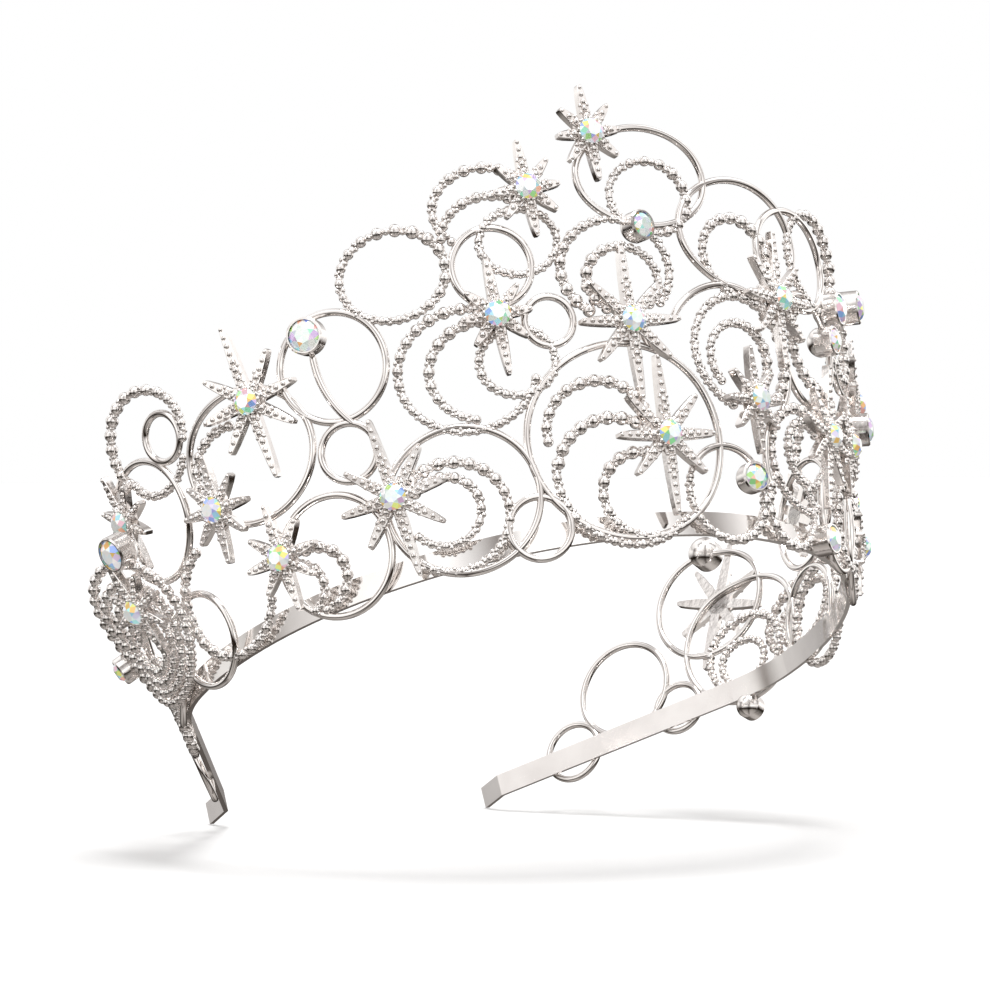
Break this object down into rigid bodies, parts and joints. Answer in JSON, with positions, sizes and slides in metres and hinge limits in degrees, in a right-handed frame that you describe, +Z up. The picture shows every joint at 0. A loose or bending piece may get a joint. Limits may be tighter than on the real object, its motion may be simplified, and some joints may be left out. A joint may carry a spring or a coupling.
{
  "type": "tiara",
  "caption": "Open-ended tiara: flat springy band carrying tall openwork of plain and beaded wire rings, eight-rayed stars and small round stones.",
  "frame": {"origin": "centre of the round front of the band, on the band's lower edge plane, where the wearer's head sits", "axes": "+Z up as worn, -Y towards the front, +X to the right as seen from the front; the band plane leans back 26 degrees about X"},
  "size_m": [0.1811, 0.144, 0.1581],
  "materials": {
    "band_metal": "bright plated strip, polished",
    "wire_metal": "bright plated round wire, polished",
    "beaded_metal": "bright plated beaded casting",
    "star_metal": "bright plated casting with grain beads on the rays",
    "setting_metal": "bright plated tube settings, polished",
    "star_crystal": "round faceted stones with an iridescent coating",
    "setting_crystal": "round faceted stones with an iridescent coating"
  },
  "bodies": {
    "root": {"band": "band_metal", "ring_peak": "wire_metal", "ring_shoulder": "wire_metal", "ring_crest": "wire_metal", "ring_front_large": "wire_metal", "ring_front_left": "wire_metal", "ring_front_right": "wire_metal", "ring_temple_left": "wire_metal", "ring_temple_right": "wire_metal", "ring_side_left": "wire_metal", "ring_side_right": "wire_metal", "ring_low_left": "wire_metal", "ring_low_right": "wire_metal", "ring_rear_left": "wire_metal", "ring_rear_right": "wire_metal", "ring_base_left": "wire_metal", "ring_base_right": "wire_metal", "ring_right_mid": "wire_metal", "ring_right_top": "wire_metal", "ring_right_low": "wire_metal", "ring_bend_left": "wire_metal", "ring_bend_right": "wire_metal", "ring_mast_left": "wire_metal", "ring_mast_right": "wire_metal", "ring_leg_left": "wire_metal", "ring_leg_right": "wire_metal", "pin_loops": "wire_metal", "small_rings": "wire_metal", "curved_stems": "wire_metal", "beaded_ring_crest": "beaded_metal", "beaded_arcs_crest": "beaded_metal", "beaded_arcs_upper_left": "beaded_metal", "beaded_arcs_upper": "beaded_metal", "beaded_ring_peak": "beaded_metal", "beaded_arcs_front": "beaded_metal", "beaded_arc_base": "beaded_metal", "beaded_arcs_front_left": "beaded_metal", "beaded_arcs_low_left": "beaded_metal", "beaded_arcs_low_right": "beaded_metal", "beaded_arc_base_left": "beaded_metal", "beaded_arc_base_right": "beaded_metal", "beaded_arcs_rear_left": "beaded_metal", "beaded_arcs_rear_right": "beaded_metal", "beaded_arcs_side": "beaded_metal", "beaded_arcs_right": "beaded_metal", "beaded_ring_shoulder": "beaded_metal", "beaded_ring_right_top": "beaded_metal", "beaded_arcs_right_low": "beaded_metal", "beaded_arcs_leg_left": "beaded_metal", "beaded_arcs_leg_right": "beaded_metal", "beaded_fan_left": "beaded_metal", "beaded_fan_right": "beaded_metal", "beaded_arcs_temple_right": "beaded_metal", "stars_front": "star_metal", "stars_left": "star_metal", "stars_right": "star_metal", "star_stones": "star_crystal", "tube_settings": "setting_metal", "tube_stones": "setting_crystal"}
  },
  "joints": []
}
